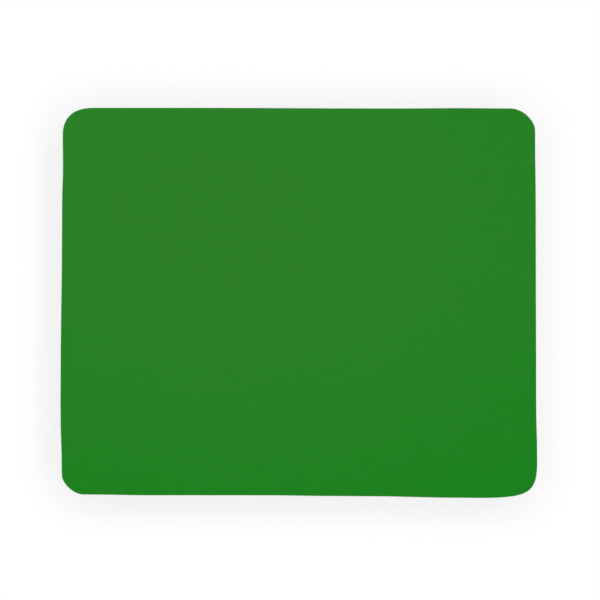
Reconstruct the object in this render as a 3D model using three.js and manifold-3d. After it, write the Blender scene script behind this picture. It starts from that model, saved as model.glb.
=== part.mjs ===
// A cloth-topped mouse pad, cut with one knife from a laminated sheet: a knitted cloth, the film that
// glues it down, a sponge rubber core and a solid rubber skin with a moulded wave tread.
// Millimetres, +Z up. The origin is the middle of the face that lies on the desk, X runs along the
// pad's width and +Y is its back edge.

import * as THREE from "three";
import { mergeVertices } from "three/addons/utils/BufferGeometryUtils.js";
import Module from "manifold-3d";

const wasm = await Module();
wasm.setup();

// The pad
const padWidth = 220;
const padDepth = 180;
const cornerRadius = 11;

// The plies, from the desk upwards. The skin is a solid web behind its tread.
const treadDepth = 0.35;
const webThickness = 0.25;
const spongeThickness = 1.8;
const filmThickness = 0.1;
const clothThickness = 0.5;

const skinTop = treadDepth + webThickness;
const spongeTop = skinTop + spongeThickness;
const filmTop = spongeTop + filmThickness;
const padHeight = filmTop + clothThickness;

// The wave tread. Its grooves run side by side across the width, behind a plain rim at the front and
// the back, and the cut goes through them at the left and the right.
const grooveSpacing = 6;
const grooveWidth = 1.6;
const waveLength = 30;
const waveSwing = 2;
const treadRim = 4;
const stepsPerWave = 8;
const cutOverrun = 0.5;

// The knife's cut. Soft sheet moves under the knife, so the edge strays from a true rectangle by up
// to edgeDrift, the sponge springs back hollow, and the cloth's edge is pressed round.
const edgeDrift = 1.7;
const spongeHollow = 0.25;
const clothRound = 0.35;
const hollowSteps = 6;
const roundSteps = 4;
const cornerSteps = 16;
const driftSteps = 4;
const easeHandleShare = 0.5;

// Each side runs anticlockwise from one corner's tangent point (0) to the next (1), and its pairs
// are [place along the side, how much of edgeDrift the cut lies inside the rectangle].
const sideShares = {
  front: [[0, 0.93], [0.17, 0.72], [0.44, 0.71], [0.67, 0.49], [1, 0]],
  right: [[0, 0], [0.19, 0.28], [0.74, 0.38], [1, 0.56]],
  back: [[0, 0.16], [0.12, 0.07], [0.28, 0.16], [0.77, 0], [1, 0]],
  left: [[0, 0.61], [0.09, 0.69], [0.2, 0.44], [0.8, 0], [1, 0.35]],
};

// Where each corner's curve starts and ends, in corner radii from the corner of the rectangle, and
// how far its handles reach along those legs. The front right corner was cut longest and squarest.
const cornerShares = {
  frontRight: { before: 2.41, after: 1.54, handle: 0.87 },
  backRight: { before: 0.96, after: 1.12, handle: 0.48 },
  backLeft: { before: 1.35, after: 1.13, handle: 0.64 },
  frontLeft: { before: 0.98, after: 0.96, handle: 0.45 },
};

// The places along one side where the cut is known. start and end are the rectangle's corners.
function sideStations(start, end, startLeg, endLeg, shares) {
  const along = end.clone().sub(start).normalize();
  const inward = new THREE.Vector2(-along.y, along.x);
  const straight = start.distanceTo(end) - startLeg - endLeg;
  return shares.map(([place, drift]) =>
    start
      .clone()
      .addScaledVector(along, startLeg + straight * place)
      .addScaledVector(inward, edgeDrift * drift),
  );
}

// A curve that leaves one point along a direction and reaches the other along its own.
function easedCurve(from, fromWay, to, toWay, handleShare) {
  const step = to.clone().sub(from);
  const fromReach = fromWay.clone().multiplyScalar(step.dot(fromWay) * handleShare);
  const toReach = toWay.clone().multiplyScalar(step.dot(toWay) * handleShare);
  return new THREE.CubicBezierCurve(from, from.clone().add(fromReach), to.clone().sub(toReach), to);
}

// The cut's outline, anticlockwise from the front left corner.
function cutOutline() {
  const right = padWidth / 2;
  const back = padDepth / 2;
  const corner = {
    frontLeft: new THREE.Vector2(-right, -back),
    frontRight: new THREE.Vector2(right, -back),
    backRight: new THREE.Vector2(right, back),
    backLeft: new THREE.Vector2(-right, back),
  };
  const sides = [
    { shares: sideShares.front, from: "frontLeft", to: "frontRight" },
    { shares: sideShares.right, from: "frontRight", to: "backRight" },
    { shares: sideShares.back, from: "backRight", to: "backLeft" },
    { shares: sideShares.left, from: "backLeft", to: "frontLeft" },
  ].map(({ shares, from, to }) => ({
    to,
    way: corner[to].clone().sub(corner[from]).normalize(),
    stations: sideStations(
      corner[from],
      corner[to],
      cornerRadius * cornerShares[from].after,
      cornerRadius * cornerShares[to].before,
      shares,
    ),
  }));
  const outline = [];
  const follow = (curve, steps) => outline.push(...curve.getPoints(steps).slice(0, -1));
  sides.forEach(({ to, way, stations }, side) => {
    const next = sides[(side + 1) % sides.length];
    for (let i = 0; i + 1 < stations.length; i += 1) {
      follow(easedCurve(stations[i], way, stations[i + 1], way, easeHandleShare), driftSteps);
    }
    const end = stations[stations.length - 1];
    const turn = easedCurve(end, way, next.stations[0], next.way, cornerShares[to].handle);
    follow(turn, cornerSteps);
  });
  return outline;
}

const outline = cutOutline();

// The outline drawn in by an even amount.
function drawnIn(inset) {
  return outline.map((point, i) => {
    const before = outline[(i + outline.length - 1) % outline.length];
    const after = outline[(i + 1) % outline.length];
    const along = after.clone().sub(before).normalize();
    return new THREE.Vector2(point.x - along.y * inset, point.y + along.x * inset);
  });
}

// How far the cut face lies inside the outline at a height above the desk.
function cutInset(height) {
  const round = Math.min(clothRound, clothThickness);
  const intoRound = height - (padHeight - round);
  if (intoRound > 0) {
    return round - Math.sqrt(Math.max(round * round - intoRound * intoRound, 0));
  }
  if (height > skinTop && height < spongeTop) {
    return spongeHollow * Math.sin((Math.PI * (height - skinTop)) / spongeThickness);
  }
  return 0;
}

// A closed skin through rings of the same number of points. section is the rings' outline in their
// own plane, anticlockwise as seen from the last ring.
function loft(rings, section) {
  const count = section.length;
  const index = [];
  for (let ring = 0; ring + 1 < rings.length; ring += 1) {
    for (let i = 0; i < count; i += 1) {
      const a = ring * count + i;
      const b = ring * count + ((i + 1) % count);
      index.push(a, b, b + count, a, b + count, a + count);
    }
  }
  const last = (rings.length - 1) * count;
  THREE.ShapeUtils.triangulateShape(section, []).forEach(([a, b, c]) => {
    index.push(a, c, b, last + a, last + b, last + c);
  });
  const points = new THREE.BufferGeometry().setFromPoints(rings.flat());
  points.setIndex(index);
  return points;
}

// One ply of the laminate, cut by the knife, through the given heights.
function cutPly(heights) {
  const rings = heights.map((height) =>
    drawnIn(cutInset(height)).map((point) => new THREE.Vector3(point.x, point.y, height)),
  );
  return loft(rings, outline);
}

// Evenly spaced values from one end to the other, both ends included.
function spread(from, to, steps) {
  return Array.from({ length: steps + 1 }, (_, i) => from + ((to - from) * i) / steps);
}

function asSolid(geometry) {
  const merged = mergeVertices(geometry);
  return new wasm.Manifold(
    new wasm.Mesh({
      numProp: 3,
      vertProperties: merged.attributes.position.array,
      triVerts: new Uint32Array(merged.index.array),
    }),
  );
}

function asGeometry(solid) {
  const { vertProperties, triVerts } = solid.getMesh();
  const geometry = new THREE.BufferGeometry();
  geometry.setAttribute("position", new THREE.BufferAttribute(vertProperties, 3));
  geometry.setIndex(new THREE.BufferAttribute(triVerts, 1));
  return geometry;
}

// A wedge that cuts one wave groove across the pad's width, centred on the line y = middle.
function waveGroove(middle) {
  const step = waveLength / stepsPerWave;
  const steps = Math.ceil((padWidth / 2 + cutOverrun) / step);
  const half = grooveWidth / 2;
  const section = [
    new THREE.Vector2(-half, -cutOverrun),
    new THREE.Vector2(half, -cutOverrun),
    new THREE.Vector2(half, 0),
    new THREE.Vector2(0, treadDepth),
    new THREE.Vector2(-half, 0),
  ];
  const rings = spread(-steps * step, steps * step, 2 * steps).map((x) => {
    const y = middle + waveSwing * Math.sin((2 * Math.PI * x) / waveLength);
    return section.map((corner) => new THREE.Vector3(x, y + corner.x, corner.y));
  });
  return asSolid(loft(rings, section));
}

function clothTop() {
  const round = Math.min(clothRound, clothThickness);
  return cutPly([filmTop, ...spread(padHeight - round, padHeight, roundSteps)]);
}

function adhesiveFilm() {
  return cutPly([spongeTop, filmTop]);
}

function spongeCore() {
  return cutPly(spread(skinTop, spongeTop, hollowSteps));
}

// The skin lies on the lands between its grooves.
function gripSkin() {
  const reach = padDepth / 2 - edgeDrift - treadRim - waveSwing - grooveWidth / 2;
  const gaps = Math.floor((2 * reach) / grooveSpacing);
  const outermost = (gaps * grooveSpacing) / 2;
  const cuts = spread(-outermost, outermost, gaps).map(waveGroove);
  const sheet = asSolid(cutPly([0, skinTop]));
  return asGeometry(sheet.subtract(cuts.reduce((joined, cut) => joined.add(cut))));
}

function ply(name, geometry, colour, roughness) {
  const facets = geometry.toNonIndexed();
  facets.computeVertexNormals();
  const material = new THREE.MeshStandardMaterial({ color: colour, roughness, metalness: 0 });
  const mesh = new THREE.Mesh(facets, material);
  mesh.name = name;
  return mesh;
}

const mousePad = new THREE.Group();
mousePad.name = "mouse_pad";
mousePad.add(
  ply("grip_skin", gripSkin(), "#1c1c1d", 0.7),
  ply("sponge_core", spongeCore(), "#222223", 0.95),
  ply("adhesive_film", adhesiveFilm(), "#c9c8bd", 0.35),
  ply("cloth_top", clothTop(), "#268025", 0.9),
);

export default mousePad;
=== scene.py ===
import math
import random

import bpy
from bpy.props import FloatProperty, FloatVectorProperty, IntProperty, PointerProperty
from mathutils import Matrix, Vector, noise


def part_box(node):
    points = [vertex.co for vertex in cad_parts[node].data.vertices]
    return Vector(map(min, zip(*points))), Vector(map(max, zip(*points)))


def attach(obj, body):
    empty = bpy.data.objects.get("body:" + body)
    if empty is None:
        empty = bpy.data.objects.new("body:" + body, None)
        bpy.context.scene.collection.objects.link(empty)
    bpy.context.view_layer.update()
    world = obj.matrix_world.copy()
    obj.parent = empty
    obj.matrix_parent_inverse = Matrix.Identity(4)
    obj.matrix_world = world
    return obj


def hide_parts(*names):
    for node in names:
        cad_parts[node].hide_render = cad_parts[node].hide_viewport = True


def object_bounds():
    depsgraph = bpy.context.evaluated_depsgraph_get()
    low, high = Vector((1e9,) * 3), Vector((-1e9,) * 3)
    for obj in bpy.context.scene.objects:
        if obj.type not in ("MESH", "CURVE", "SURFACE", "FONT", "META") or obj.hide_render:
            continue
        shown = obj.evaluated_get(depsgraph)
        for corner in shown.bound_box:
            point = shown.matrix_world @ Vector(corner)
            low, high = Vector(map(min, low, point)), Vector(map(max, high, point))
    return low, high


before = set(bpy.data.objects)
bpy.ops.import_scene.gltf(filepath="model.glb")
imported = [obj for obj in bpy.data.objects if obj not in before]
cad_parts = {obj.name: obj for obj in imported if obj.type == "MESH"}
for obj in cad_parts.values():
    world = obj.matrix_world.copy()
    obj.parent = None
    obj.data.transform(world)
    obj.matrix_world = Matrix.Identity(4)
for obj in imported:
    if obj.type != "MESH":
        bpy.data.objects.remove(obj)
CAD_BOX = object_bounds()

bl_info = {
    "name": "Cloth mouse pad",
    "version": (1, 0, 0),
    "blender": (4, 5, 0),
    "location": "3D View > Sidebar > Mouse pad",
    "description": "Dresses a cloth-topped mouse pad: knitted cloth, glue film, sponge and wave tread",
    "category": "Add Mesh",
}

MM = 0.001
BODY = "root"

HALF_PAD = (CAD_BOX[1] - CAD_BOX[0]) / 2
SKIN_LOW, SKIN_HIGH = (corner.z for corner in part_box("grip_skin"))
SPONGE_LOW, SPONGE_HIGH = (corner.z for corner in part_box("sponge_core"))
CLOTH_LOW, CLOTH_HIGH = (corner.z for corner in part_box("cloth_top"))

# The map of a piece has a margin, and a patch for the faces that are hidden, both in shares of the map
MAP_NAME = "OFBake"
MAP_EDGE = 0.004
PATCH = 0.04
# The cut edge of a thin piece is laid round its face, so far off it
CUT_GAP = 0.6 * MM
# A face is part of the cut edge where its normal leans up or down by less than this
CUT_FACING = 0.5


def length(name, description, default, smallest=0.0):
    """A size in metres that shows in the scene's own unit."""
    return FloatProperty(
        name=name, description=description, default=default, min=smallest, unit="LENGTH", precision=5
    )


def position(name, description, default):
    """A place in metres along an axis, to either side of the pad's middle."""
    return FloatProperty(name=name, description=description, default=default, unit="LENGTH", precision=5)


def degrees(name, description, default):
    """An angle, given here in degrees."""
    return FloatProperty(
        name=name, description=description, default=math.radians(default), unit="ROTATION"
    )


def share(name, description, default):
    """A part of one, or of what its description names."""
    return FloatProperty(name=name, description=description, default=default, min=0, max=1)


def factor(name, description, default):
    """A number without a unit that may be more than one."""
    return FloatProperty(name=name, description=description, default=default, min=0)


def number(name, description, default, fewest=0):
    """A whole number."""
    return IntProperty(name=name, description=description, default=default, min=fewest)


def colour(name, description, default):
    """A scene-linear colour."""
    return FloatVectorProperty(
        name=name, description=description, default=default, subtype="COLOR", size=3, min=0, max=1
    )


class ClothSettings(bpy.types.PropertyGroup):
    """The dyed knit that the mouse runs on."""

    cell: length("Cell", "About how long the edges of its faces are", 1.25 * MM, 0.2 * MM)
    edge_drop: length("Edge drop", "Height of the cut edge's round", 0.35 * MM)
    edge_run: length("Edge run", "Width of the cut edge's round", 0.35 * MM, 0.01 * MM)
    edge_steps: number("Edge steps", "Facets across that round", 5, fewest=1)
    pressed_width: length("Pressed width", "Border that the knife pressed down", 4 * MM, 0.1 * MM)
    pressed_drop: length("Pressed drop", "How far the border lies lower", 0.05 * MM)
    unevenness: length("Unevenness", "Depth of the sponge's slight waves under the cloth", 0.03 * MM)
    wave_size: length("Wave size", "Size of those waves", 22 * MM, 1 * MM)
    wale: length("Wale", "Width of one column of stitches", 0.656 * MM, 0.1 * MM)
    course: length("Course", "Height of one row of stitches", 0.563 * MM, 0.1 * MM)
    stitch_relief: length("Stitch relief", "Depth of the knit's relief", 0.05 * MM)
    deep: colour("Deep green", "The dye at the front edge", (0.0078, 0.2150, 0.0098))
    # the highlight green and where it lies make a painted highlight: the lamp's sheen painted into the
    # cloth's colour, lighter and warmer round a place behind the middle
    highlight_green: colour("Warm green", "The dye where it lies warmest", (0.0243, 0.2112, 0.0182))
    highlight_x: position("Warmest X", "Where the dye lies warmest, right of the middle", -32 * MM)
    highlight_y: position("Warmest Y", "Where the dye lies warmest, behind the middle", 42 * MM)
    highlight_reach_x: length("Reach in X", "How far to the sides the warmth reaches", 226 * MM, 1 * MM)
    highlight_reach_y: length("Reach in Y", "How far to the front and back it reaches", 150 * MM, 1 * MM)
    highlight_falloff: factor("Falloff", "How late the warmth fades on its way out, 1 for evenly", 1.56)


class FilmSettings(bpy.types.PropertyGroup):
    """The hot-melt film that bonds the cloth."""

    cell: length("Cell", "About how long the cut face's faces are", 0.4 * MM, 0.05 * MM)
    drawn_back: length("Drawn back", "How far in the cut edge lies where it lies back most", 0.08 * MM)
    bulge: length("Bulge", "How far the cut edge stands out at mid height", 0.02 * MM)
    patch: length("Patch", "Size of its thin and drawn back places", 1.8 * MM, 0.2 * MM)
    milky: colour("Milky", "The film where it is thick", (0.40, 0.40, 0.35))
    clear: colour("Clear", "The film where it is thin", (0.16, 0.20, 0.13))


class SpongeSettings(bpy.types.PropertyGroup):
    """The sponge rubber between the film and the skin."""

    cell: length("Cell", "About how long the cut face's faces are", 0.14 * MM, 0.05 * MM)
    hollow: length("Hollow", "How far the cut face springs back at mid height", 0.25 * MM)
    pore_least: length("Smallest pore", "Radius of the smallest open pore", 0.12 * MM, 0.02 * MM)
    pore_most: length("Largest pore", "Radius of the largest open pore", 0.38 * MM, 0.02 * MM)
    pores: number("Pores", "Open pores in the cut face", 3000)
    seed: number("Seed", "Which scatter of pores is taken", 5)
    pinprick: length("Pinprick", "Size of the cells between the pores", 0.19 * MM, 0.02 * MM)
    strips: number("Strips", "Strips that the cut face makes on its map", 16, fewest=1)
    black: colour("Black", "The sponge's colour", (0.014, 0.014, 0.0145))


class TreadSettings(bpy.types.PropertyGroup):
    """The rubber skin's moulded wave grooves."""

    grooves: number("Grooves", "Wave grooves side by side", 28, fewest=1)
    spacing: length("Spacing", "From one groove to the next", 6 * MM, 1 * MM)
    width: length("Width", "Width of a groove's mouth", 1.6 * MM, 0.1 * MM)
    depth: length("Depth", "Depth of a groove", 0.35 * MM, 0.01 * MM)
    wave_length: length("Wave length", "Length of one wave along a groove", 30 * MM, 2 * MM)
    wave_swing: length("Wave swing", "How far a groove swings off its line", 2 * MM)
    steps: number("Steps", "Straight steps in one wave", 20, fewest=6)
    facets: number("Facets", "Facets across one groove", 10, fewest=2)
    overrun: length("Overrun", "How far a cut runs past what it cuts", 0.5 * MM)
    thread: length("Thread", "Pitch of the cloth print on the lands", 1 * MM, 0.1 * MM)
    print_depth: length("Print depth", "Depth of that print", 0.12 * MM)
    black: colour("Black", "The skin's colour", (0.0095, 0.0095, 0.0100))


class StageSettings(bpy.types.PropertyGroup):
    """The floor, the light and the camera."""

    lens: FloatProperty(
        name="Lens", description="Focal length", default=85, min=10, unit="CAMERA", precision=1
    )
    view_width: length("View width", "What the picture spans at the cloth", 276.7 * MM, 1 * MM)
    view_x: position("View centre X", "The picture's centre, to the right of the pad's", 0.53 * MM)
    view_y: position("View centre Y", "The picture's centre, behind the pad's", 1.33 * MM)
    floor_size: length("Floor size", "Length of the floor's sides", 8.0)
    floor_gap: length("Floor gap", "How far the floor lies below the pad", 0.01 * MM)
    level: factor("Level", "Light on the floor, where 1 shows a colour as it is", 1.004)
    low_share: share("Low light", "Part of the light that comes in low from all round", 0.215)
    fill_share: share("Fill", "Part of the light that comes evenly from everywhere", 0.04)
    lean: FloatVectorProperty(
        name="Lean",
        description="How much more of the low light comes from the right and from behind",
        default=(0.25, 0.23),
        size=2,
        min=-1,
        max=1,
    )
    low_from: degrees("Low from", "Height above the horizon where the low light starts", 6.5)
    low_to: degrees("Low to", "Height above the horizon where the low light ends", 14.5)
    low_blur: share("Low blur", "Half the width of each soft edge, as a part of its height", 0.25)
    lamp_angle: degrees("Lamp size", "Angle that the overhead lamp fills", 20)


class PadSettings(bpy.types.PropertyGroup):
    """Everything that the sidebar's panel lists."""

    cloth: PointerProperty(type=ClothSettings)
    film: PointerProperty(type=FilmSettings)
    sponge: PointerProperty(type=SpongeSettings)
    tread: PointerProperty(type=TreadSettings)
    stage: PointerProperty(type=StageSettings)


# The knife's line


def knife_line():
    """The cut's outline, anticlockwise, read from the rim of the CAD film, whose loose triangles
    repeat each point: points that agree to the micron are one."""
    micron_places = 6
    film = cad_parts["adhesive_film"].data
    rim = {(round(v.co.x, micron_places), round(v.co.y, micron_places)) for v in film.vertices}
    return [Vector(point) for point in sorted(rim, key=lambda point: math.atan2(point[1], point[0]))]


def evenly(points, steps):
    """A line's points moved so that they divide it into equal steps, both ends kept."""
    reached = [0.0]
    for before, after in zip(points, points[1:]):
        reached.append(reached[-1] + (after - before).length)
    spread, span = [], 0
    for step in range(steps + 1):
        goal = reached[-1] * step / steps
        while span + 2 < len(points) and reached[span + 1] < goal:
            span += 1
        part = (goal - reached[span]) / (reached[span + 1] - reached[span])
        spread.append(points[span].lerp(points[span + 1], min(part, 1.0)))
    return spread


def knife_loop(across, along):
    """The knife's line as one closed loop that starts in the middle of the front left corner. Each
    long side has across steps and each short side has along steps, from corner to corner."""
    line = knife_line()
    corners = [
        max(range(len(line)), key=lambda i: x * line[i].x / HALF_PAD.x + y * line[i].y / HALF_PAD.y)
        for x, y in ((-1, -1), (1, -1), (1, 1), (-1, 1))
    ]
    loop = []
    for side, steps in enumerate((across, along, across, along)):
        start, end = corners[side], corners[(side + 1) % 4]
        count = (end - start) % len(line)
        points = [line[(start + i) % len(line)] for i in range(count + 1)]
        loop += evenly(points, steps)[:-1]
    return loop


def drawn_in(loop, insets):
    """The loop with each point moved inwards by its own amount."""
    moved = []
    for i, point in enumerate(loop):
        along = (loop[(i + 1) % len(loop)] - loop[i - 1]).normalized()
        moved.append(Vector((point.x - along.y * insets[i], point.y + along.x * insets[i])))
    return moved


def steps_for(cell):
    """How many cells of about that length fit along a long side and along a short side."""
    return round(2 * HALF_PAD.x / cell), round(2 * HALF_PAD.y / cell)


def eased(part):
    """A part from 0 to 1 that sets off and arrives gently."""
    return part * part * (3 - 2 * part)


# Building


def select_only(obj):
    """Makes one object the selected and active one."""
    bpy.ops.object.select_all(action="DESELECT")
    obj.select_set(True)
    bpy.context.view_layer.objects.active = obj


def new_piece(name, points, faces):
    """A mesh object from points and faces, at the origin."""
    mesh = bpy.data.meshes.new(name)
    mesh.from_pydata(points, [], faces)
    piece = bpy.data.objects.new(name, mesh)
    bpy.context.collection.objects.link(piece)
    return piece


def ring_walls(rings, count):
    """Quads between stacked rings of count points, facing outwards."""
    return [
        (
            ring * count + i,
            ring * count + (i + 1) % count,
            (ring + 1) * count + (i + 1) % count,
            (ring + 1) * count + i,
        )
        for ring in range(rings - 1)
        for i in range(count)
    ]


def cut_slab(name, loop, heights, insets):
    """A closed slab with a ring at each height, drawn in from the loop by that ring's insets. Its cut
    face comes first in the mesh."""
    count, rings = len(loop), len(heights)
    points = [
        (point.x, point.y, height)
        for height, ring_insets in zip(heights, insets)
        for point in drawn_in(loop, ring_insets)
    ]
    faces = ring_walls(rings, count)
    faces.append(tuple(range(count - 1, -1, -1)))
    faces.append(tuple(range((rings - 1) * count, rings * count)))
    return new_piece(name, points, faces)


def ngon_on(points):
    """A filled circle whose rim is then laid on the given points."""
    bpy.ops.object.select_all(action="DESELECT")
    bpy.ops.mesh.primitive_circle_add(vertices=len(points), fill_type="NGON", calc_uvs=False)
    piece = bpy.context.object
    for vertex, point in zip(piece.data.vertices, points):
        vertex.co = point
    return piece


def in_edit_mode(piece, *steps):
    """Runs the steps on all of a piece's mesh."""
    select_only(piece)
    bpy.ops.object.mode_set(mode="EDIT")
    bpy.ops.mesh.select_mode(type="FACE")
    bpy.ops.mesh.select_all(action="SELECT")
    for step in steps:
        step()
    bpy.ops.object.mode_set(mode="OBJECT")


def face_outwards():
    """Turns all the faces of the mesh in edit mode outwards."""
    bpy.ops.mesh.select_all(action="SELECT")
    bpy.ops.mesh.normals_make_consistent(inside=False)


def apply_modifier(piece, kind, **settings):
    """Adds a modifier with the given settings and applies it."""
    select_only(piece)
    bpy.ops.object.modifier_add(type=kind)
    modifier = piece.modifiers[-1]
    for name, value in settings.items():
        setattr(modifier, name, value)
    bpy.ops.object.modifier_apply(modifier=modifier.name)


def list_by_place(piece):
    """Lists a mesh's points and faces by where they are. The solver that cuts a shape out of another
    works on many faces at once, and without this it lists them in another order each run."""
    mesh = piece.data
    places = [tuple(vertex.co) for vertex in mesh.vertices]
    order = sorted(range(len(places)), key=places.__getitem__)
    rank = {old: new for new, old in enumerate(order)}
    faces = []
    for face in mesh.polygons:
        corners = [rank[corner] for corner in face.vertices]
        first = corners.index(min(corners))
        faces.append(corners[first:] + corners[:first])
    mesh.clear_geometry()
    mesh.from_pydata([places[old] for old in order], [], sorted(faces))


# Maps for a baked copy. What shows gets nearly all of its pictures' pixels, and what lies against the
# next ply gets a small patch.


def parked(point, left, low):
    """Where a point of a hidden face lies on the map, in the patch that has that corner."""
    across, along = point.x / HALF_PAD.x, point.y / HALF_PAD.y
    return left + PATCH * (across + 1) / 2, low + PATCH * (along + 1) / 2


def lay_on_map(piece, place_on_map):
    """Gives a piece its map. place_on_map says where a face's corner lies, from the face, the
    corner's turn round it, and its point in the mesh."""
    mesh = piece.data
    places = []
    for face in mesh.polygons:
        for turn, corner in enumerate(face.vertices):
            places += place_on_map(face, turn, mesh.vertices[corner].co)
    mesh.uv_layers.new(name=MAP_NAME).uv.foreach_set("vector", places)


def map_flat(piece, side, surface, thickness):
    """Maps a thin piece as seen from its side that shows, 1 for above and -1 for below, with the
    cut edge laid out round it. surface is that side's height."""
    reach_x, reach_y = (half + thickness + CUT_GAP for half in (HALF_PAD.x, HALF_PAD.y))
    low = PATCH + 2 * MAP_EDGE

    def place_on_map(face, turn, point):
        facing = face.normal.z * side
        if facing < -CUT_FACING:
            return parked(point, MAP_EDGE, MAP_EDGE)
        away = abs(point.z - surface) + CUT_GAP if facing < CUT_FACING else 0.0
        across = side * point.x * (1 + away / HALF_PAD.x) / reach_x
        along = point.y * (1 + away / HALF_PAD.y) / reach_y
        u = MAP_EDGE + (1 - 2 * MAP_EDGE) * (across + 1) / 2
        return u, low + (1 - MAP_EDGE - low) * (along + 1) / 2

    lay_on_map(piece, place_on_map)


def map_rim(piece, count, rows, strips):
    """Maps a slab whose cut face shows, as strips that lie one above the other. The cut face has
    rows rings of count faces, and comes first in the mesh."""
    in_strip = math.ceil(count / strips)
    pitch = (1 - PATCH - 2 * MAP_EDGE) / strips

    def place_on_map(face, turn, point):
        row, column = divmod(face.index, count)
        if row >= rows:
            return parked(point, MAP_EDGE, 1 - PATCH - MAP_EDGE)
        strip, place = divmod(column, in_strip)
        right, up = turn in (1, 2), turn in (2, 3)
        u = MAP_EDGE + (1 - 2 * MAP_EDGE) * (place + right) / in_strip
        return u, strip * pitch + MAP_EDGE + (pitch - MAP_EDGE) * (row + up) / rows

    lay_on_map(piece, place_on_map)


def finish_piece(piece, name, node, crease):
    """Names a finished piece, shades it smooth up to its crease angle, and lets it stand for its
    CAD node."""
    piece.name = piece.data.name = name
    select_only(piece)
    bpy.ops.object.shade_smooth_by_angle(angle=math.radians(crease))
    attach(piece, BODY)
    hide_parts(node)


# Materials


def socket_value(tree, socket, value):
    """Links a socket to another, or sets it."""
    if isinstance(value, bpy.types.NodeSocket):
        tree.links.new(value, socket)
    else:
        socket.default_value = value


def add_node(tree, kind, inputs=(), **settings):
    """A node with its settings, and its sockets set or linked by name or number."""
    node = tree.nodes.new(kind)
    for name, value in settings.items():
        setattr(node, name, value)
    for name, value in dict(inputs).items():
        socket_value(tree, node.inputs[name], value)
    return node


def calc(tree, operation, *values):
    """The outcome of one sum on sockets and numbers."""
    return add_node(tree, "ShaderNodeMath", enumerate(values), operation=operation).outputs[0]


def mix_colours(tree, factor, first, second):
    """A colour between two."""
    node = add_node(tree, "ShaderNodeMix", data_type="RGBA")
    socket_value(tree, node.inputs["Factor"], factor)
    socket_value(tree, node.inputs["A"], first)
    socket_value(tree, node.inputs["B"], second)
    return node.outputs["Result"]


def mottle(tree, place, size, detail=2.0, stretch=(1, 1, 1)):
    """Even noise from 0 to 1, with patches of about that size, drawn finer or longer by axis."""
    mapped = add_node(tree, "ShaderNodeMapping", {"Vector": place, "Scale": stretch})
    pattern = add_node(
        tree, "ShaderNodeTexNoise", {"Vector": mapped.outputs[0], "Scale": 1 / size, "Detail": detail}
    )
    return pattern.outputs["Fac"]


def varied(tree, pattern, about, by):
    """A value that a pattern from 0 to 1 moves evenly to either side of its middle."""
    return calc(tree, "MULTIPLY_ADD", pattern, by, about - by / 2)


def bumped(tree, height, depth, strength):
    """The shading normal of a relief so deep."""
    settings = {"Strength": strength, "Distance": depth, "Height": height}
    return add_node(tree, "ShaderNodeBump", settings).outputs[0]


def opaque(rgb, shade=1.0):
    """A full colour from its three channels, made darker or lighter by shade."""
    return (*(channel * shade for channel in rgb), 1.0)


def start_material(name):
    """A new material, its node tree, its surface shader and its object coordinates."""
    material = bpy.data.materials.new(name)
    material.use_nodes = True
    tree = material.node_tree
    place = add_node(tree, "ShaderNodeTexCoord").outputs["Object"]
    return material, tree, tree.nodes["Principled BSDF"], place


def set_surface(tree, surface, **values):
    """Sets or links the surface shader's sockets. Underscores stand for spaces."""
    for name, value in values.items():
        socket_value(tree, surface.inputs[name.replace("_", " ")], value)


def knit_height(tree, place, wale, course):
    """Height of a plain knit: columns of stitches, each stitch two slanting legs in a V."""
    slant_share = 0.9
    across, along, _ = add_node(tree, "ShaderNodeSeparateXYZ", {0: place}).outputs
    column = calc(tree, "FRACT", calc(tree, "DIVIDE", across, wale))
    off_middle = calc(tree, "ABSOLUTE", calc(tree, "SUBTRACT", column, 0.5))
    slant = calc(tree, "MULTIPLY", off_middle, slant_share)
    stitch = calc(tree, "FRACT", calc(tree, "SUBTRACT", calc(tree, "DIVIDE", along, course), slant))
    over_leg = calc(tree, "SINE", calc(tree, "MULTIPLY", off_middle, 2 * math.pi))
    over_yarn = calc(tree, "SINE", calc(tree, "MULTIPLY", stitch, math.pi))
    return calc(tree, "MULTIPLY", over_leg, over_yarn)


def weave_height(tree, place, thread):
    """Height of a plain weave that lies askew: round threads that go over and under each other."""
    crossing_blur = 0.15
    askew = (0, 0, math.radians(45))
    turned = add_node(tree, "ShaderNodeMapping", {"Vector": place, "Rotation": askew}).outputs[0]
    across, along, _ = add_node(tree, "ShaderNodeSeparateXYZ", {0: turned}).outputs
    warp, weft = (
        calc(tree, "SINE", calc(tree, "MULTIPLY", way, math.pi / thread)) for way in (across, along)
    )
    warp_on_top = add_node(
        tree,
        "ShaderNodeMapRange",
        {
            "Value": calc(tree, "MULTIPLY", warp, weft),
            "From Min": -crossing_blur,
            "From Max": crossing_blur,
        },
    ).outputs[0]
    top = add_node(tree, "ShaderNodeMix", data_type="FLOAT")
    socket_value(tree, top.inputs["Factor"], warp_on_top)
    socket_value(tree, top.inputs["A"], calc(tree, "ABSOLUTE", weft))
    socket_value(tree, top.inputs["B"], calc(tree, "ABSOLUTE", warp))
    return calc(tree, "SQRT", top.outputs["Result"])


def painted_highlight_fade(tree, place, sizes):
    """0 where the painted highlight is strongest, and 1 from its reach outwards."""
    middle = (-sizes.highlight_x / sizes.highlight_reach_x, -sizes.highlight_y / sizes.highlight_reach_y, 0)
    per_reach = (1 / sizes.highlight_reach_x, 1 / sizes.highlight_reach_y, 0)
    mapped = add_node(
        tree, "ShaderNodeMapping", {"Vector": place, "Location": middle, "Scale": per_reach}
    )
    away = add_node(tree, "ShaderNodeVectorMath", {0: mapped.outputs[0]}, operation="LENGTH")
    within = calc(tree, "MINIMUM", away.outputs["Value"], 1.0)
    return calc(tree, "POWER", within, sizes.highlight_falloff)


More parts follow.
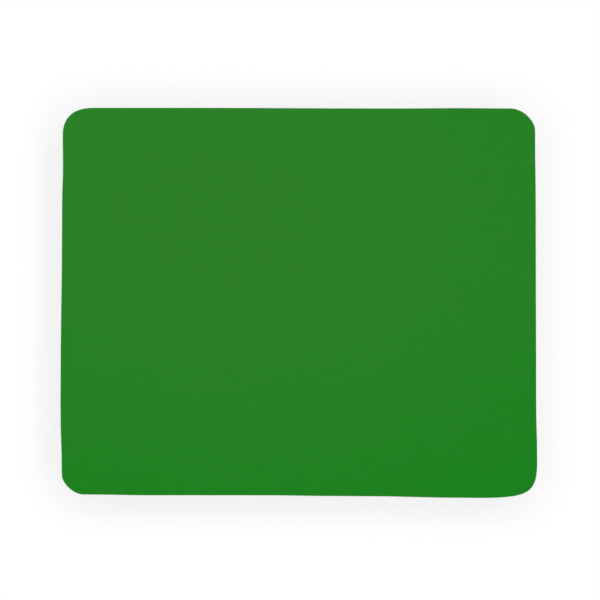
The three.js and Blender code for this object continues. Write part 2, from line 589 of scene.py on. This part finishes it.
def cloth_material(sizes):
    """Matt knitted polyester, painted lighter and warmer round a place behind the middle as a painted
    highlight, with painted shade between stitches.
    """
    material, tree, surface, place = start_material("green_knit")
    stitches = knit_height(tree, place, sizes.wale, sizes.course)
    rows = mottle(tree, place, size=3.85 * MM, detail=5, stretch=(0.3, 1.8, 1))
    clouds = mottle(tree, place, size=22 * MM, detail=3)
    fuzz = mottle(tree, place, size=0.26 * MM)
    # rows take the dye a little unevenly; a painted highlight makes the colour lighter and warmer round
    # a place behind the middle, and painted shade darkens the valleys between stitches
    highlight_and_row_dye = calc(tree, "ADD", painted_highlight_fade(tree, place, sizes), varied(tree, rows, about=0, by=0.8))
    dye = mix_colours(tree, highlight_and_row_dye, opaque(sizes.highlight_green), opaque(sizes.deep))
    rows_shade = varied(tree, rows, about=1, by=0.04)
    unevenly = calc(tree, "ADD", rows_shade, varied(tree, clouds, about=0, by=0.03))
    # painted shade: the valleys between stitches are painted darker
    shade = calc(tree, "MULTIPLY", unevenly, varied(tree, stitches, about=1.015, by=0.16))
    tinted = add_node(tree, "ShaderNodeVectorMath", {0: dye, 1: shade}, operation="MULTIPLY")
    fuzzy = calc(tree, "ADD", stitches, varied(tree, fuzz, about=0, by=0.35))
    set_surface(
        tree,
        surface,
        Base_Color=tinted.outputs[0],
        Roughness=varied(tree, clouds, about=0.9, by=0.08),
        Normal=bumped(tree, fuzzy, depth=sizes.stitch_relief, strength=0.8),
        Specular_IOR_Level=0.08,
        Sheen_Weight=0.06,
        Sheen_Roughness=0.5,
        Sheen_Tint=(0.75, 1.0, 0.7, 1.0),
    )
    return material


def film_material(sizes):
    """Milky hot-melt film, thinner in places."""
    material, tree, surface, place = start_material("hot_melt")
    patches = mottle(tree, place, size=sizes.patch, detail=4)
    thin = varied(tree, patches, about=0.5, by=3)
    ripples = mottle(tree, place, size=0.4 * MM)
    set_surface(
        tree,
        surface,
        Base_Color=mix_colours(tree, thin, opaque(sizes.milky), opaque(sizes.clear)),
        Roughness=varied(tree, thin, about=0.4, by=0.2),
        Normal=bumped(tree, ripples, depth=0.02 * MM, strength=0.5),
        Specular_IOR_Level=0.3,
    )
    return material


def sponge_material(sizes):
    """Cut sponge rubber: matt, with pinprick pores between the open ones, painted darker towards their
    bottoms as painted shade.
    """
    # how soon the bottom of a pinprick has risen to the wall between two of them
    steepness = 2.2
    material, tree, surface, place = start_material("sponge_rubber")
    cells = {"Vector": place, "Scale": 1 / sizes.pinprick}
    from_middle = add_node(tree, "ShaderNodeTexVoronoi", cells).outputs["Distance"]
    walls = calc(tree, "MINIMUM", calc(tree, "MULTIPLY", from_middle, steepness), 1.0)
    grey = mottle(tree, place, size=2.4 * MM, detail=4)
    # painted shade: each pinprick is painted darker towards its bottom, over a random grey
    shade = calc(tree, "MULTIPLY", walls, varied(tree, grey, about=1, by=0.5))
    darkest, lightest = opaque(sizes.black, shade=0.35), opaque(sizes.black, shade=1.25)
    set_surface(
        tree,
        surface,
        Base_Color=mix_colours(tree, shade, darkest, lightest),
        Roughness=varied(tree, grey, about=0.94, by=0.08),
        Normal=bumped(tree, walls, depth=0.06 * MM, strength=0.9),
        Specular_IOR_Level=0.2,
    )
    return material


def skin_material(sizes):
    """Moulded solid rubber: the print of the cloth that it was cured on, with painted shade that keeps
    its valleys darker than its raised threads, and a little of its dust.
    """
    # how far the print reaches up a lip, as a part of the groove's depth
    lip_share = 0.4
    # how deep the grain is, as a part of the print's depth
    grain_share = 0.5
    # painted shade: how much lighter the print's raised threads are painted than its valleys, beside the
    # grain's dust
    painted_print_shade = 0.6
    material, tree, surface, place = start_material("rubber_skin")
    # the print is on the lands that were pressed against that cloth, and fades out over their lips
    up = add_node(tree, "ShaderNodeSeparateXYZ", {0: place}).outputs["Z"]
    lip = {"Value": up, "From Min": SKIN_LOW + lip_share * sizes.depth, "From Max": SKIN_LOW}
    on_land = add_node(tree, "ShaderNodeMapRange", lip).outputs[0]
    printed = calc(tree, "MULTIPLY", weave_height(tree, place, sizes.thread), on_land)
    # drawn out along Z, so that on the cut face the grain is the knife's fine upright marks
    grain = mottle(tree, place, size=0.4 * MM, detail=3, stretch=(1, 1, 0.12))
    bloom = mottle(tree, place, size=14 * MM, detail=5)
    relief = calc(tree, "MULTIPLY_ADD", grain, grain_share, printed)
    # painted shade: the print's raised threads are painted lighter and its valleys darker
    dust_and_print_shade = calc(tree, "MULTIPLY_ADD", printed, painted_print_shade, varied(tree, grain, about=0.8, by=2.4))
    dusted_and_print_shaded = calc(tree, "MULTIPLY", bloom, dust_and_print_shade)
    clean, dusty_and_lit = opaque(sizes.black, shade=0.6), opaque(sizes.black, shade=3.0)
    set_surface(
        tree,
        surface,
        Base_Color=mix_colours(tree, dusted_and_print_shaded, clean, dusty_and_lit),
        Roughness=varied(tree, bloom, about=0.62, by=0.25),
        Normal=bumped(tree, relief, depth=sizes.print_depth, strength=0.9),
        Specular_IOR_Level=0.22,
    )
    return material


def floor_material():
    """White paper, at full white to the camera."""
    material, tree, surface, _ = start_material("white_paper")
    tree.nodes.remove(surface)
    seen = add_node(tree, "ShaderNodeLightPath").outputs["Is Camera Ray"]
    paper = add_node(tree, "ShaderNodeBsdfDiffuse", {"Color": opaque((0.8, 0.8, 0.8))})
    white = add_node(tree, "ShaderNodeBsdfDiffuse", {"Color": opaque((1, 1, 1))})
    either = add_node(tree, "ShaderNodeMixShader", {0: seen, 1: paper.outputs[0], 2: white.outputs[0]})
    tree.links.new(either.outputs[0], tree.nodes["Material Output"].inputs["Surface"])
    return material


# Operators


class MESH_OT_pad_cloth(bpy.types.Operator):
    """Makes the knitted cloth: one closed sheet whose cut edge is rounded and pressed down"""

    bl_idname = "mesh.pad_cloth"
    bl_label = "Cloth"
    bl_options = {"REGISTER", "UNDO"}

    def execute(self, context):
        sizes = context.scene.mouse_pad.cloth
        across, along = steps_for(sizes.cell)
        loop = knife_loop(across, along)
        count = len(loop)
        top = CLOTH_HIGH - sizes.pressed_drop
        profile = [(0.0, CLOTH_LOW)]
        for step in range(sizes.edge_steps + 1):
            turn = math.pi / 2 * step / sizes.edge_steps
            inset = sizes.edge_run * (1 - math.cos(turn))
            profile.append((inset, top - sizes.edge_drop * (1 - math.sin(turn))))
        rings = [(drawn_in(loop, [inset] * count), height) for inset, height in profile]
        points = [(point.x, point.y, height) for ring, height in rings for point in ring]
        faces = ring_walls(len(rings), count)
        faces.append(tuple(range(count - 1, -1, -1)))
        faces += self.fill(points, rings[-1][0], across, along, sizes)
        piece = new_piece("cloth_face", points, faces)
        piece.data.materials.append(cloth_material(sizes))
        map_flat(piece, 1, CLOTH_HIGH, CLOTH_HIGH - CLOTH_LOW)
        finish_piece(piece, "cloth_face", "cloth_top", crease=50)
        return {"FINISHED"}

    def fill(self, points, rim, across, along, sizes):
        """Adds the points inside the rim, and gives the faces that fill it."""
        first_rim = len(points) - len(rim)
        front = rim[: across + 1]
        right = rim[across : across + along + 1]
        back = rim[across + along : 2 * across + along + 1][::-1]
        left = (rim[2 * across + along :] + rim[:1])[::-1]
        index = {}
        for j in range(along + 1):
            for i in range(across + 1):
                if j == 0:
                    index[i, j] = first_rim + i
                elif i == across:
                    index[i, j] = first_rim + across + j
                elif j == along:
                    index[i, j] = first_rim + 2 * across + along - i
                elif i == 0:
                    index[i, j] = first_rim + 2 * across + 2 * along - j
                else:
                    u, v = i / across, j / along
                    point = front[i].lerp(back[i], v) + left[j].lerp(right[j], u)
                    point -= front[0].lerp(front[-1], u).lerp(back[0].lerp(back[-1], u), v)
                    inwards = min(i, across - i, j, along - j) * sizes.cell
                    index[i, j] = len(points)
                    points.append((point.x, point.y, self.height(point, inwards, sizes)))
        return [
            (index[i, j], index[i + 1, j], index[i + 1, j + 1], index[i, j + 1])
            for j in range(along)
            for i in range(across)
        ]

    def height(self, point, inwards, sizes):
        """Height of the cloth at a point that lies so far in from its rim."""
        # waves that each carry finer ripples, to either side of half the unevenness
        wave_share = 0.35
        ripple_share = 0.15
        ripples_per_wave = 3
        wave = noise.noise(Vector((point.x, point.y, 0)) / sizes.wave_size)
        ripple = noise.noise(Vector((point.y, point.x, 1)) * ripples_per_wave / sizes.wave_size)
        risen = eased(min(inwards / sizes.pressed_width, 1.0))
        low = sizes.unevenness * risen * (0.5 + wave_share * wave + ripple_share * ripple)
        return CLOTH_HIGH - sizes.pressed_drop * (1 - risen) - low


class MESH_OT_pad_film(bpy.types.Operator):
    """Makes the glue film, whose cut edge lies back a little, here more and there less"""

    bl_idname = "mesh.pad_film"
    bl_label = "Glue film"
    bl_options = {"REGISTER", "UNDO"}

    def execute(self, context):
        sizes = context.scene.mouse_pad.film
        loop = knife_loop(*steps_for(sizes.cell))
        back = [self.lies_back(point, sizes) for point in loop]
        behind = [inset + sizes.bulge for inset in back]
        heights = (SPONGE_HIGH, (SPONGE_HIGH + CLOTH_LOW) / 2, CLOTH_LOW)
        piece = cut_slab("glue_film", loop, heights, (behind, back, behind))
        piece.data.materials.append(film_material(sizes))
        finish_piece(piece, "glue_film", "adhesive_film", crease=60)
        return {"FINISHED"}

    def lies_back(self, point, sizes):
        """How far in the cut edge lies at a point of the knife's line."""
        uneven = noise.noise(Vector((point.x, point.y, 0)) / sizes.patch)
        return sizes.drawn_back * (1 + uneven) / 2


class MESH_OT_pad_sponge(bpy.types.Operator):
    """Makes the sponge rubber, with a hollow cut face and the pores that the knife opened"""

    bl_idname = "mesh.pad_sponge"
    bl_label = "Sponge"
    bl_options = {"REGISTER", "UNDO"}

    def execute(self, context):
        sizes = context.scene.mouse_pad.sponge
        across, along = steps_for(sizes.cell)
        loop = knife_loop(across, along)
        count = len(loop)
        thickness = SPONGE_HIGH - SPONGE_LOW
        rows = round(thickness / sizes.cell)
        dents = self.open_pores(sizes, count, rows)
        heights = [SPONGE_LOW + thickness * row / rows for row in range(rows + 1)]
        hollow = [sizes.hollow * math.sin(math.pi * row / rows) for row in range(rows + 1)]
        insets = [
            [hollow[row] + dents.get((i, row), 0.0) for i in range(count)] for row in range(rows + 1)
        ]
        piece = cut_slab("sponge_slab", loop, heights, insets)
        piece.data.materials.append(sponge_material(sizes))
        map_rim(piece, count, rows, sizes.strips)
        finish_piece(piece, "sponge_slab", "sponge_core", crease=60)
        return {"FINISHED"}

    def open_pores(self, sizes, count, rows):
        """How deep each place of the cut face lies in a pore."""
        # the power that makes small pores commoner than large ones
        rarity = 3
        scatter = random.Random(sizes.seed)
        dents = {}
        for _ in range(sizes.pores):
            growth = scatter.random() ** rarity
            radius = sizes.pore_least + (sizes.pore_most - sizes.pore_least) * growth
            reach = radius / sizes.cell
            middle, height = scatter.uniform(0, count), scatter.uniform(reach, rows - reach)
            for row in range(max(1, math.ceil(height - reach)), min(rows - 1, int(height + reach)) + 1):
                for i in range(math.ceil(middle - reach), int(middle + reach) + 1):
                    away = math.hypot(i - middle, row - height) / reach
                    if away < 1:
                        place = (i % count, row)
                        depth = radius * math.sqrt(1 - away * away)
                        dents[place] = max(dents.get(place, 0.0), depth)
        return dents


class MESH_OT_pad_tread(bpy.types.Operator):
    """Makes the rubber skin: a slab cut out by the knife, with rounded wave grooves underneath"""

    bl_idname = "mesh.pad_tread"
    bl_label = "Wave tread"
    bl_options = {"REGISTER", "UNDO"}

    def execute(self, context):
        sizes = context.scene.mouse_pad.tread
        loop = knife_loop(*steps_for(context.scene.mouse_pad.cloth.cell))
        slab = ngon_on([(point.x, point.y, SKIN_LOW) for point in loop])
        rise = {"value": (0, 0, SKIN_HIGH - SKIN_LOW)}
        in_edit_mode(
            slab, lambda: bpy.ops.mesh.extrude_region_move(TRANSFORM_OT_translate=rise), face_outwards
        )
        cutter = self.cutter(sizes)
        apply_modifier(slab, "BOOLEAN", operation="DIFFERENCE", solver="MANIFOLD", object=cutter)
        bpy.data.objects.remove(cutter)
        in_edit_mode(slab, lambda: bpy.ops.mesh.remove_doubles(threshold=0.001 * MM))
        list_by_place(slab)
        slab.data.materials.clear()
        slab.data.materials.append(skin_material(sizes))
        map_flat(slab, -1, SKIN_LOW, SKIN_HIGH - SKIN_LOW)
        finish_piece(slab, "wave_tread", "grip_skin", crease=35)
        apply_modifier(slab, "WEIGHTED_NORMAL", keep_sharp=True, weight=100)
        return {"FINISHED"}

    def cutter(self, sizes):
        """What the mould pressed out of the skin: one groove drawn along its wave, and its copies."""
        step = sizes.wave_length / sizes.steps
        steps = math.ceil((HALF_PAD.x + sizes.overrun) / step)
        start = -steps * step
        half = sizes.width / 2
        first = -(sizes.grooves - 1) / 2 * sizes.spacing

        def swing(x):
            return sizes.wave_swing * math.sin(2 * math.pi * x / sizes.wave_length)

        section = [(-half, SKIN_LOW - sizes.overrun), (half, SKIN_LOW - sizes.overrun)]
        for facet in range(sizes.facets + 1):
            y = half - sizes.width * facet / sizes.facets
            rise = sizes.depth * (1 + math.cos(math.pi * y / half)) / 2
            section.append((y, SKIN_LOW + rise))
        groove = ngon_on([(start, first + swing(start) + y, z) for y, z in section])

        def draw_along():
            for i in range(2 * steps):
                x = start + i * step
                move = {"value": (step, swing(x + step) - swing(x), 0)}
                bpy.ops.mesh.extrude_region_move(TRANSFORM_OT_translate=move)

        in_edit_mode(groove, draw_along, face_outwards)
        apply_modifier(
            groove,
            "ARRAY",
            count=sizes.grooves,
            use_relative_offset=False,
            use_constant_offset=True,
            constant_offset_displace=(0, sizes.spacing, 0),
        )
        return groove


class SCENE_OT_pad_stage(bpy.types.Operator):
    """Lays the white floor, sets the light and puts the camera straight above the pad"""

    bl_idname = "scene.pad_stage"
    bl_label = "Stage"
    bl_options = {"REGISTER", "UNDO"}

    def execute(self, context):
        stage = context.scene.mouse_pad.stage
        self.lay_floor(stage)
        self.light_all_round(context.scene, stage)
        self.hang_lamp(stage)
        self.place_camera(context.scene, stage)
        context.scene.view_settings.view_transform = "Standard"
        return {"FINISHED"}

    def lay_floor(self, stage):
        """A square white floor just below the pad."""
        bpy.ops.object.select_all(action="DESELECT")
        under_pad = (0, 0, SKIN_LOW - stage.floor_gap)
        bpy.ops.mesh.primitive_plane_add(size=stage.floor_size, location=under_pad)
        floor = bpy.context.object
        floor.name = floor.data.name = "floor"
        floor.data.materials.append(floor_material())

    def light_all_round(self, scene, stage):
        """White to look at. As a light, a low band all round the pad over an even fill."""
        world = bpy.data.worlds.new("low_light")
        world.use_nodes = True
        scene.world = world
        tree = world.node_tree
        sky = tree.nodes["Background"]
        outwards = add_node(tree, "ShaderNodeTexCoord").outputs["Generated"]
        height = add_node(tree, "ShaderNodeSeparateXYZ", {0: outwards}).outputs["Z"]
        low, high = math.sin(stage.low_from), math.sin(stage.low_to)
        blur = (high - low) * stage.low_blur
        steps = [
            add_node(
                tree,
                "ShaderNodeMapRange",
                {"Value": height, "From Min": edge - blur, "From Max": edge + blur},
                interpolation_type="SMOOTHSTEP",
            ).outputs[0]
            for edge in (low, high)
        ]
        band = calc(tree, "SUBTRACT", *steps)
        lean = add_node(
            tree, "ShaderNodeVectorMath", {0: outwards, 1: (*stage.lean, 0)}, operation="DOT_PRODUCT"
        ).outputs["Value"]
        leaning_band = calc(tree, "MULTIPLY", band, calc(tree, "ADD", lean, 1.0))
        strength = stage.level * stage.low_share / (high * high - low * low)
        lit = calc(tree, "MULTIPLY_ADD", leaning_band, strength, stage.fill_share)
        ray = add_node(tree, "ShaderNodeLightPath").outputs
        seen = calc(tree, "MAXIMUM", ray["Is Camera Ray"], ray["Is Glossy Ray"])
        seen = calc(tree, "MAXIMUM", seen, ray["Is Transmission Ray"])
        either = calc(tree, "MULTIPLY_ADD", seen, calc(tree, "SUBTRACT", 1.0, lit), lit)
        sky.inputs["Color"].default_value = opaque((1, 1, 1))
        tree.links.new(either, sky.inputs["Strength"])

    def hang_lamp(self, stage):
        """A soft overhead lamp, which gives what the low light and the fill leave."""
        bpy.ops.object.light_add(type="SUN", location=(0, 0, 1), rotation=(0, 0, 0))
        lamp = bpy.context.object
        lamp.name = "overhead_lamp"
        lamp.data.angle = stage.lamp_angle
        overhead = stage.level * (1 - stage.low_share) - stage.fill_share
        lamp.data.energy = math.pi * overhead

    def place_camera(self, scene, stage):
        """A camera that looks straight down, from as high as its lens needs to span the view."""
        camera_data = bpy.data.cameras.new("camera")
        camera_data.lens = stage.lens
        camera_data.clip_start = 10 * MM
        camera_data.clip_end = 20
        distance = stage.view_width * stage.lens / camera_data.sensor_width
        camera = bpy.data.objects.new("camera", camera_data)
        camera.location = (stage.view_x, stage.view_y, CLOTH_HIGH + distance)
        scene.collection.objects.link(camera)
        scene.camera = camera


class VIEW3D_PT_mouse_pad(bpy.types.Panel):
    """The pad's pieces, each with its sizes and colours"""

    bl_label = "Mouse pad"
    bl_idname = "VIEW3D_PT_mouse_pad"
    bl_space_type = "VIEW_3D"
    bl_region_type = "UI"
    bl_category = "Mouse pad"

    def draw(self, context):
        settings = context.scene.mouse_pad
        for part, operator in PARTS:
            box = self.layout.box()
            box.operator(operator)
            group = getattr(settings, part)
            for name in group.__annotations__:
                box.prop(group, name)


PARTS = (
    ("cloth", "mesh.pad_cloth"),
    ("film", "mesh.pad_film"),
    ("sponge", "mesh.pad_sponge"),
    ("tread", "mesh.pad_tread"),
    ("stage", "scene.pad_stage"),
)

CLASSES = (
    ClothSettings,
    FilmSettings,
    SpongeSettings,
    TreadSettings,
    StageSettings,
    PadSettings,
    MESH_OT_pad_cloth,
    MESH_OT_pad_film,
    MESH_OT_pad_sponge,
    MESH_OT_pad_tread,
    SCENE_OT_pad_stage,
    VIEW3D_PT_mouse_pad,
)


def register():
    for each in CLASSES:
        bpy.utils.register_class(each)
    bpy.types.Scene.mouse_pad = PointerProperty(type=PadSettings)


def unregister():
    del bpy.types.Scene.mouse_pad
    for each in reversed(CLASSES):
        bpy.utils.unregister_class(each)


def main():
    """Makes the pieces and the stage."""
    register()
    for _, operator in PARTS:
        group, name = operator.split(".")
        getattr(getattr(bpy.ops, group), name)()


if __name__ == "__main__":
    main()
